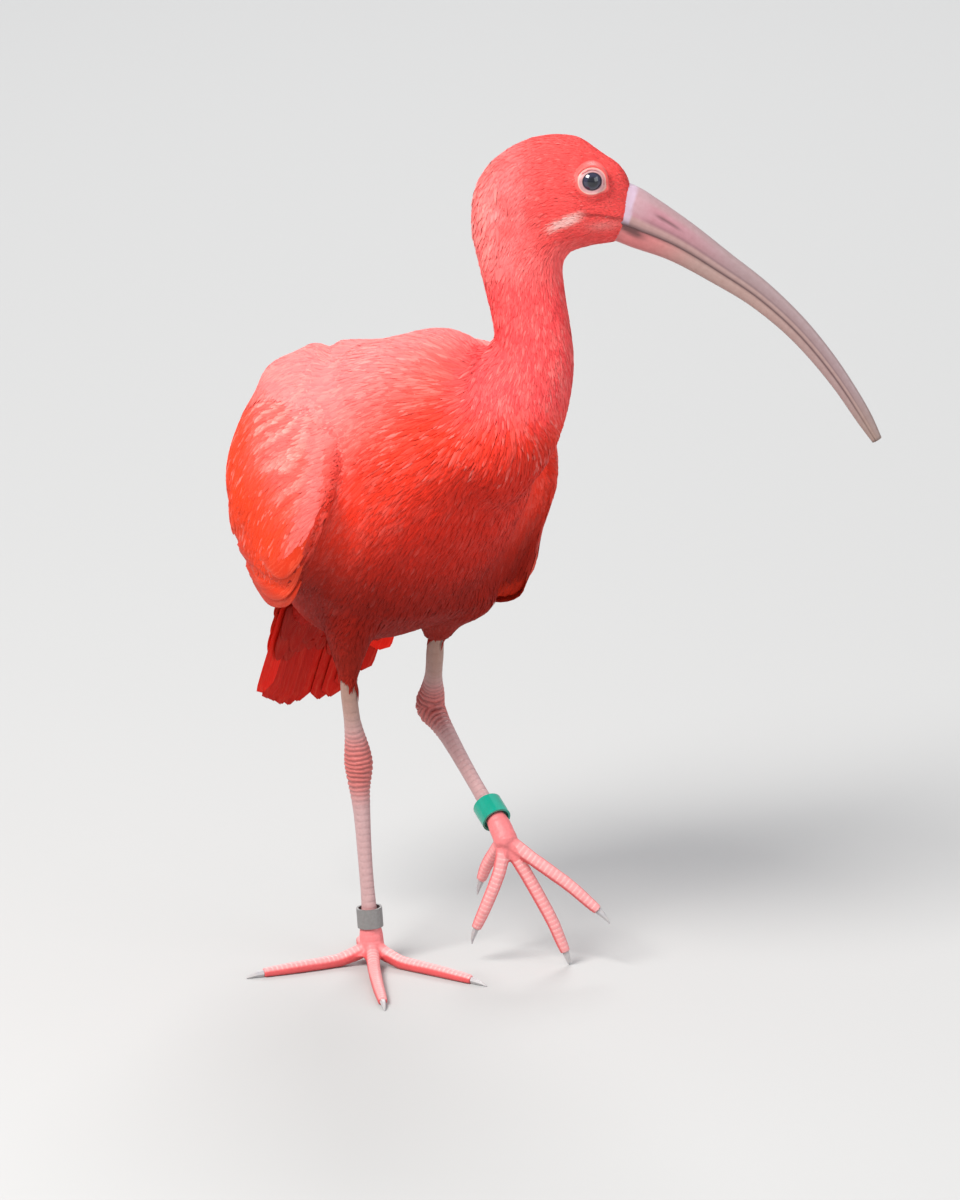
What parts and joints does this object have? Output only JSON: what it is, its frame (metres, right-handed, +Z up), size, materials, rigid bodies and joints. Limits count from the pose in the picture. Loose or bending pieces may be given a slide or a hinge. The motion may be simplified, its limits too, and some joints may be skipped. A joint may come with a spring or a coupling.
{
  "type": "scarlet ibis model",
  "caption": "Life-size still model of a scarlet ibis in mid step, head turned to its left, with a long curved bill, folded wings, square tail and a ring on each leg.",
  "frame": {"origin": "on the floor under the middle of the bounding box", "axes": "+Z up, +X where the body heads, +Y to the bird's left"},
  "size_m": [0.2374, 0.2576, 0.4155],
  "materials": {
    "body_plumage": "soft overlapping small feathers, matt",
    "wing_plumage": "smooth vaned feathers, slight sheen",
    "tail_plumage": "smooth vaned feathers, slight sheen",
    "eye": "glossy dark eye",
    "bill": "satin horn, pink at the root and grey-brown at the tip",
    "leg_skin": "scaly skin, satin",
    "claw": "pale horn",
    "grey_ring": "dull metal",
    "green_ring": "glossy plastic"
  },
  "bodies": {
    "root": {"torso": "body_plumage", "neck_lower": "body_plumage", "neck_upper": "body_plumage", "head": "body_plumage", "eye_right": "eye", "eye_left": "eye", "bill_upper": "bill", "bill_lower": "bill", "wing_right": "wing_plumage", "wing_left": "wing_plumage", "tail": "tail_plumage", "thigh_right": "body_plumage", "shank_right": "leg_skin", "heel_right": "leg_skin", "tarsus_right": "leg_skin", "toe_right_outer": "leg_skin", "claw_right_outer": "claw", "toe_right_middle": "leg_skin", "claw_right_middle": "claw", "toe_right_inner": "leg_skin", "claw_right_inner": "claw", "toe_right_hind": "leg_skin", "claw_right_hind": "claw", "foot_right": "leg_skin", "thigh_left": "body_plumage", "shank_left": "leg_skin", "heel_left": "leg_skin", "tarsus_left": "leg_skin", "toe_left_outer": "leg_skin", "claw_left_outer": "claw", "toe_left_middle": "leg_skin", "claw_left_middle": "claw", "toe_left_inner": "leg_skin", "claw_left_inner": "claw", "toe_left_hind": "leg_skin", "claw_left_hind": "claw", "foot_left": "leg_skin", "ring_grey_right": "grey_ring", "ring_green_left": "green_ring"}
  },
  "joints": []
}
